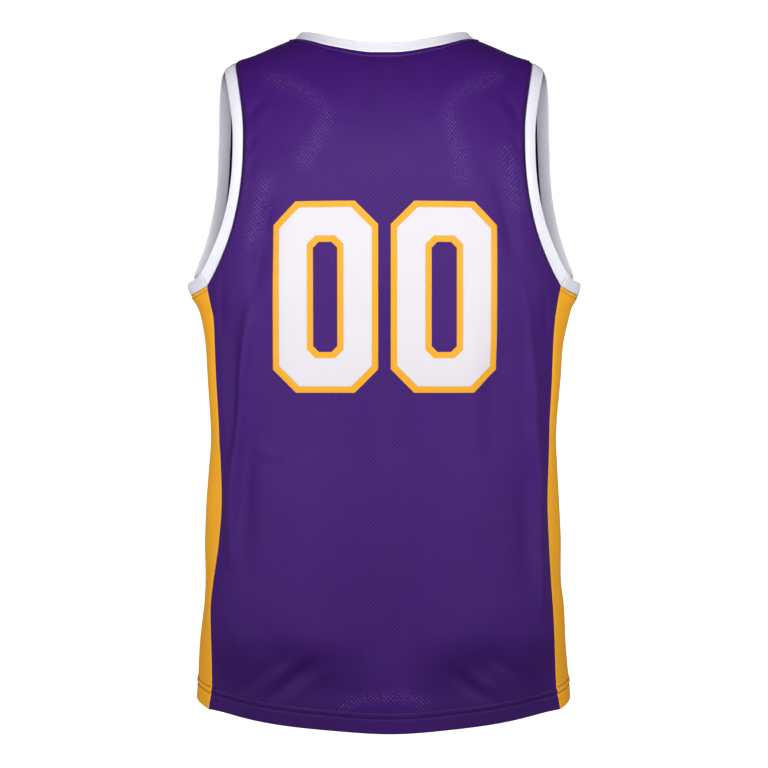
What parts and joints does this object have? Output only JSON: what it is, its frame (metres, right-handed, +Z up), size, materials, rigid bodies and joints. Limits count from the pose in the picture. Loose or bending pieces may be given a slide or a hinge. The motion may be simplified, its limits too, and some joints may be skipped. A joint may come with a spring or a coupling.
{
  "type": "basketball jersey",
  "caption": "Sleeveless basketball jersey in fine mesh with plain side panels and banded neck and armholes, filled out as when worn, open at neck, arms and hem.",
  "frame": {"origin": "midway between the shoulders, at the height where the shoulders carry the straps", "axes": "+Z up along the wearer's back, +Y the way the wearer faces, +X to the wearer's right"},
  "size_m": [0.4303, 0.2472, 0.7438],
  "materials": {
    "purple_mesh": "fine open mesh knit with a slight sheen",
    "gold_cloth": "smooth close knit, matt",
    "white_band": "fine double knit, matt"
  },
  "bodies": {
    "root": {"back_panel": "purple_mesh", "front_panel": "purple_mesh", "side_panel_left": "gold_cloth", "side_panel_right": "gold_cloth", "neck_band": "white_band", "armhole_band_left": "white_band", "armhole_band_right": "white_band"}
  },
  "joints": []
}
